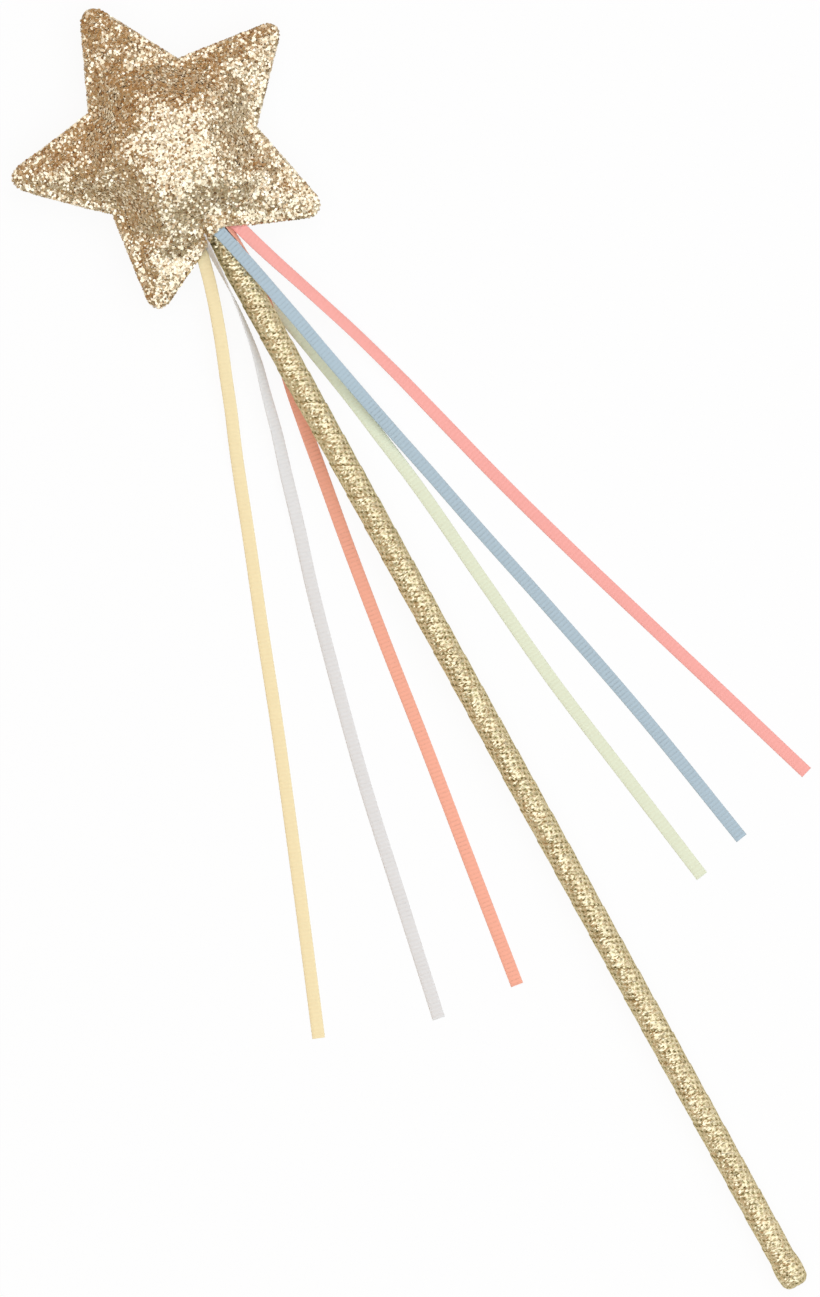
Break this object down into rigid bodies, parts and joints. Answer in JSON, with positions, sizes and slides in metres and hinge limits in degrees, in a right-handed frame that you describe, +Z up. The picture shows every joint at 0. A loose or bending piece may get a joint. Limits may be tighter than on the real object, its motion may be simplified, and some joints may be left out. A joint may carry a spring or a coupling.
{
  "type": "toy magic wand",
  "caption": "Toy magic wand: a stuffed gold glitter star on a slim tape-wrapped stick, with pastel grosgrain ribbons sewn in at the neck so that they trail and flutter.",
  "frame": {"origin": "middle of the wand's footprint, on the surface that it lies on, measured without the ribbons", "axes": "+Y along the stick towards the star, +Z up from the surface that the wand lies on, +X across the star"},
  "size_m": [0.1409, 0.362, 0.0195],
  "materials": {
    "dowel_wood": "plain sanded dowel under the tape",
    "gold_tape": "gold metallic ribbed tape, shiny",
    "glitter_fabric": "champagne gold coarse glitter on a woven backing",
    "fibre_fill": "loose polyester fibre",
    "thread": "matt sewing thread",
    "pink_grosgrain": "matt ribbed grosgrain ribbon",
    "blue_grosgrain": "matt ribbed grosgrain ribbon",
    "green_grosgrain": "matt ribbed grosgrain ribbon",
    "coral_grosgrain": "matt ribbed grosgrain ribbon",
    "grey_grosgrain": "matt ribbed grosgrain ribbon",
    "yellow_grosgrain": "matt ribbed grosgrain ribbon"
  },
  "bodies": {
    "wand": {"dowel": "dowel_wood", "stick_wrap": "gold_tape", "end_wrap": "gold_tape", "star_front": "glitter_fabric", "star_back": "glitter_fabric", "star_stuffing": "fibre_fill", "seam_thread": "thread"},
    "pink_ribbon": {"ribbon_pink": "pink_grosgrain"},
    "blue_ribbon": {"ribbon_blue": "blue_grosgrain"},
    "green_ribbon": {"ribbon_green": "green_grosgrain"},
    "coral_ribbon": {"ribbon_coral": "coral_grosgrain"},
    "grey_ribbon": {"ribbon_grey": "grey_grosgrain"},
    "yellow_ribbon": {"ribbon_yellow": "yellow_grosgrain"}
  },
  "joints": [
    {"name": "pink_bend", "type": "hinge", "parent": "wand", "child": "pink_ribbon", "pos_m": [0.00616, 0.11409, 0.0106], "axis": [-0.9326, 0.361, 0], "range_deg": [0, 60]},
    {"name": "blue_bend", "type": "hinge", "parent": "wand", "child": "blue_ribbon", "pos_m": [0.00131, 0.11499, 0.0131], "axis": [-1, 0, 0], "range_deg": [0, 60]},
    {"name": "green_swing", "type": "hinge", "parent": "wand", "child": "green_ribbon", "pos_m": [0.00006, 0.11499, 0.0051], "axis": [0, 0, 1], "range_deg": [-4, 0]},
    {"name": "coral_swing", "type": "hinge", "parent": "wand", "child": "coral_ribbon", "pos_m": [0.00386, 0.11449, 0.0107], "axis": [0, 0, 1], "range_deg": [0, 6]},
    {"name": "grey_bend", "type": "hinge", "parent": "wand", "child": "grey_ribbon", "pos_m": [-0.00324, 0.11369, 0.0122], "axis": [-0.8991, -0.4377, 0], "range_deg": [0, 60]},
    {"name": "yellow_bend", "type": "hinge", "parent": "wand", "child": "yellow_ribbon", "pos_m": [-0.00564, 0.11249, 0.0086], "axis": [-0.8991, -0.4377, 0], "range_deg": [0, 60]}
  ]
}
